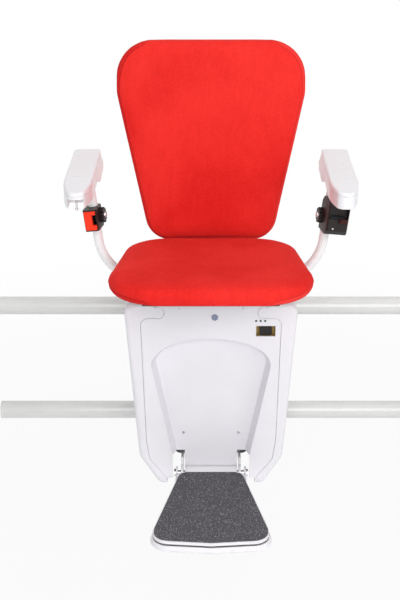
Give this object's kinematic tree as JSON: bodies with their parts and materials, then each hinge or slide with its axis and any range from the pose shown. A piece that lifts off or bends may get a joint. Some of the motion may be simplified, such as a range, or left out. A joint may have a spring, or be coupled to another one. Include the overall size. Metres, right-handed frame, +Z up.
{
  "type": "stairlift chair",
  "caption": "Stairlift chair on a short section of twin tube rails, with upholstered seat and back, folding arms, folding footrest, swivel seat and roller carriage.",
  "frame": {"origin": "on the upper rail's axis, in the middle of the chair", "axes": "+X along the rails to the right as seen from the front, -Y the way the chair faces, +Z up"},
  "size_m": [1.08, 0.611, 1.0315],
  "materials": {
    "white_paint": "gloss",
    "white_plastic": "gloss",
    "dark_steel": "satin",
    "bright_steel": "satin",
    "rack_steel": "satin",
    "roller_plastic": "matte",
    "cast_alloy": "satin",
    "motor_paint": "satin",
    "battery_case": "matte",
    "board_green": "matte",
    "light_lens": "gloss",
    "button_grey": "satin",
    "bezel_ochre": "satin",
    "black_plastic": "satin",
    "mat_rubber": "matte",
    "black_rubber": "matte",
    "red_velour": "matte",
    "red_key": "gloss",
    "tongue_brown": "satin"
  },
  "bodies": {
    "rails": {"upper_rail": "white_paint", "lower_rail": "white_paint", "drive_rack": "rack_steel"},
    "carriage": {"carriage_frame": "dark_steel", "roller_axles": "bright_steel", "gearbox": "cast_alloy", "motor": "motor_paint", "batteries": "battery_case", "control_board": "board_green", "cover_centre": "white_plastic", "cover_left": "white_plastic", "cover_right": "white_plastic", "cover_rear": "white_plastic", "cover_top": "white_plastic", "panel_screws": "bright_steel", "status_lights": "light_lens", "switch_bezel": "bezel_ochre", "seat_post": "dark_steel", "hinge_brackets": "white_paint", "hinge_fairing": "white_plastic", "footrest_shaft": "bright_steel"},
    "top_roller_left": {"top_roller_left": "roller_plastic"},
    "top_roller_right": {"top_roller_right": "roller_plastic"},
    "under_roller_left": {"under_roller_left": "roller_plastic"},
    "under_roller_right": {"under_roller_right": "roller_plastic"},
    "thrust_roller_left": {"thrust_roller_left": "roller_plastic"},
    "thrust_roller_right": {"thrust_roller_right": "roller_plastic"},
    "pinion": {"drive_pinion": "rack_steel", "drive_shaft": "bright_steel"},
    "power_key": {"power_button": "button_grey"},
    "rocker": {"rocker_switch": "black_plastic"},
    "footrest": {"footrest_plate": "white_plastic", "footrest_mat": "mat_rubber", "footrest_arms": "white_paint"},
    "pan": {"safety_pan": "white_plastic"},
    "chair": {"swivel_plate": "dark_steel", "seat_frame": "dark_steel", "pivot_pins": "bright_steel", "seat_buffers": "black_rubber", "back_brackets": "dark_steel", "back_shell": "black_plastic", "back_cushion": "red_velour", "arm_tube_left": "white_paint", "arm_tube_right": "white_paint", "arm_knuckles": "bright_steel", "buckle_housing": "black_plastic", "reel_housing": "black_plastic", "belt_tongue": "tongue_brown", "belt_knobs": "black_plastic", "belt_bolts": "bright_steel"},
    "lever": {"swivel_lever": "black_plastic"},
    "seat": {"seat_pan": "black_plastic", "seat_cushion": "red_velour"},
    "left_arm": {"arm_cap_left": "white_plastic", "arm_shell_left": "white_plastic"},
    "right_arm": {"arm_cap_right": "white_plastic", "arm_shell_right": "white_plastic"},
    "toggle": {"toggle_stick": "bright_steel"},
    "buckle_key": {"buckle_button": "red_key"},
    "belt_drum": {"reel_drum": "roller_plastic"}
  },
  "joints": [
    {"name": "travel", "type": "slide", "parent": "rails", "child": "carriage", "axis": [1, 0, 0], "range_m": [-0.3, 0.3]},
    {"name": "top_roller_left_turn", "type": "hinge", "parent": "carriage", "child": "top_roller_left", "pos_m": [-0.07, 0, 0.04255], "axis": [0, 1, 0], "range_deg": [-860, 860]},
    {"name": "top_roller_right_turn", "type": "hinge", "parent": "carriage", "child": "top_roller_right", "pos_m": [0.07, 0, 0.04255], "axis": [0, 1, 0], "range_deg": [-860, 860]},
    {"name": "under_roller_left_turn", "type": "hinge", "parent": "carriage", "child": "under_roller_left", "pos_m": [-0.07, 0, -0.04255], "axis": [0, 1, 0], "range_deg": [-860, 860]},
    {"name": "under_roller_right_turn", "type": "hinge", "parent": "carriage", "child": "under_roller_right", "pos_m": [0.07, 0, -0.04255], "axis": [0, 1, 0], "range_deg": [-860, 860]},
    {"name": "thrust_roller_left_turn", "type": "hinge", "parent": "carriage", "child": "thrust_roller_left", "pos_m": [-0.07, -0.04255, -0.286], "axis": [0, 0, 1], "range_deg": [-860, 860]},
    {"name": "thrust_roller_right_turn", "type": "hinge", "parent": "carriage", "child": "thrust_roller_right", "pos_m": [0.07, -0.04255, -0.286], "axis": [0, 0, 1], "range_deg": [-860, 860]},
    {"name": "pinion_turn", "type": "hinge", "parent": "carriage", "child": "pinion", "pos_m": [0, 0.026, -0.3412], "axis": [0, 1, 0], "range_deg": [-545, 545]},
    {"name": "power_press", "type": "slide", "parent": "carriage", "child": "power_key", "axis": [0, 1, 0], "range_m": [0, 0.002], "stiffness_N_per_m": 1500, "springref_m": -0.001},
    {"name": "rocker_tilt", "type": "hinge", "parent": "carriage", "child": "rocker", "pos_m": [0.12375, -0.2375, 0.032], "axis": [0, 0, 1], "range_deg": [-9, 9]},
    {"name": "footrest_fold", "type": "hinge", "parent": "carriage", "child": "footrest", "pos_m": [0, -0.2445, -0.3345], "axis": [-1, 0, 0], "range_deg": [0, 90]},
    {"name": "pan_press", "type": "slide", "parent": "footrest", "child": "pan", "axis": [0, 0, 1], "range_m": [0, 0.003], "stiffness_N_per_m": 1500, "springref_m": -0.003},
    {"name": "swivel", "type": "hinge", "parent": "carriage", "child": "chair", "pos_m": [0, -0.15, 0.1], "axis": [0, 0, 1], "range_deg": [-90, 90]},
    {"name": "lever_press", "type": "hinge", "parent": "chair", "child": "lever", "pos_m": [0.086, -0.25, 0.127], "axis": [0, 1, 0], "range_deg": [0, 8], "stiffness_Nm_per_rad": 1, "springref_deg": -17.19},
    {"name": "seat_fold", "type": "hinge", "parent": "chair", "child": "seat", "pos_m": [0, -0.095, 0.137], "axis": [-1, 0, 0], "range_deg": [0, 75]},
    {"name": "left_arm_fold", "type": "hinge", "parent": "chair", "child": "left_arm", "pos_m": [-0.2825, -0.11, 0.374], "axis": [-1, 0, 0], "range_deg": [0, 90]},
    {"name": "right_arm_fold", "type": "hinge", "parent": "chair", "child": "right_arm", "pos_m": [0.2825, -0.11, 0.374], "axis": [-1, 0, 0], "range_deg": [0, 90]},
    {"name": "toggle_tilt", "type": "hinge", "parent": "left_arm", "child": "toggle", "pos_m": [-0.26803, -0.42867, 0.3902], "axis": [-0.0454, 0.999, 0], "range_deg": [-15, 15], "stiffness_Nm_per_rad": 0.03},
    {"name": "buckle_press", "type": "slide", "parent": "chair", "child": "buckle_key", "axis": [0.1381, 0.9903, 0.0172], "range_m": [0, 0.003], "stiffness_N_per_m": 1200, "springref_m": -0.002},
    {"name": "drum_turn", "type": "hinge", "parent": "chair", "child": "belt_drum", "pos_m": [0.28322, -0.14419, 0.25513], "axis": [0.9827, 0.1392, -0.1224], "range_deg": [-720, 720]}
  ],
  "couplings": [
    {"joint": "top_roller_left_turn", "follows": "travel", "rad_per_m": 49.261},
    {"joint": "top_roller_right_turn", "follows": "travel", "rad_per_m": 49.261},
    {"joint": "under_roller_left_turn", "follows": "travel", "rad_per_m": -49.261},
    {"joint": "under_roller_right_turn", "follows": "travel", "rad_per_m": -49.261},
    {"joint": "thrust_roller_left_turn", "follows": "travel", "rad_per_m": 49.261},
    {"joint": "thrust_roller_right_turn", "follows": "travel", "rad_per_m": 49.261},
    {"joint": "pinion_turn", "follows": "travel", "rad_per_m": -31.25}
  ]
}
